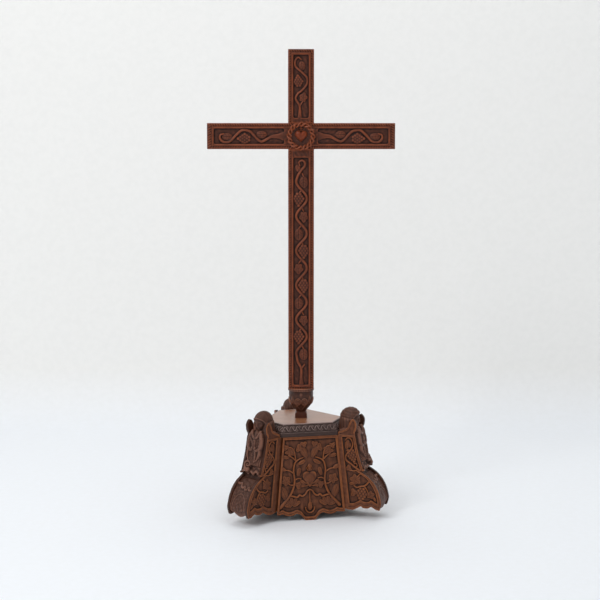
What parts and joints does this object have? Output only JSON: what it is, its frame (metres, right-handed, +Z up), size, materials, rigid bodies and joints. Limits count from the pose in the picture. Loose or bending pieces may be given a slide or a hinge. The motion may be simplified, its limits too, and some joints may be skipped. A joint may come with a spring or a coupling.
{
  "type": "altar cross",
  "caption": "Carved oak Latin cross with vine relief and a thorn-ringed heart, turning on a pin in a hollow three-sided pedestal with figured corner consoles.",
  "frame": {"origin": "under the middle of the whole cross, on the plane that its feet stand on", "axes": "+X along the arms of the cross, -Y the way its carved face looks, +Z up"},
  "size_m": [0.32, 0.2824, 0.8],
  "materials": {
    "oak_cross": "dark stained and waxed",
    "oak_heart": "stained and polished by touch",
    "oak_board": "stained and polished",
    "oak_cornice": "dark stained",
    "oak_panel": "stained and waxed",
    "oak_console": "dark stained and waxed",
    "oak_inside": "bare, unfinished",
    "steel": "plain, slightly rusted"
  },
  "bodies": {
    "pedestal": {"top_board": "oak_board", "socket_block": "oak_inside", "block_screws": "steel", "corner_blocks": "oak_inside", "panel_front": "oak_panel", "cornice_front": "oak_cornice", "panel_right": "oak_panel", "cornice_right": "oak_cornice", "panel_left": "oak_panel", "cornice_left": "oak_cornice", "console_left": "oak_console", "cheek_left_clockwise": "oak_panel", "cheek_left_anticlockwise": "oak_panel", "corner_cornice_left": "oak_cornice", "console_right": "oak_console", "cheek_right_clockwise": "oak_panel", "cheek_right_anticlockwise": "oak_panel", "corner_cornice_right": "oak_cornice", "console_back": "oak_console", "cheek_back_clockwise": "oak_panel", "cheek_back_anticlockwise": "oak_panel", "corner_cornice_back": "oak_cornice"},
    "pin": {"pivot_pin": "steel"},
    "cross": {"upright": "oak_cross", "crossbar": "oak_cross", "lap_pegs": "oak_cross", "crossing_boss": "oak_cross", "thorn_crown": "oak_cross", "heart": "oak_heart", "knop": "oak_cross", "foot_collar": "oak_cross"}
  },
  "joints": [
    {"name": "cross_lift", "type": "slide", "parent": "pedestal", "child": "pin", "axis": [0, 0, 1], "range_m": [0, 0.052]},
    {"name": "cross_turn", "type": "hinge", "parent": "pin", "child": "cross", "pos_m": [0, -0.01411, 0.166], "axis": [0, 0, 1], "continuous": true}
  ]
}
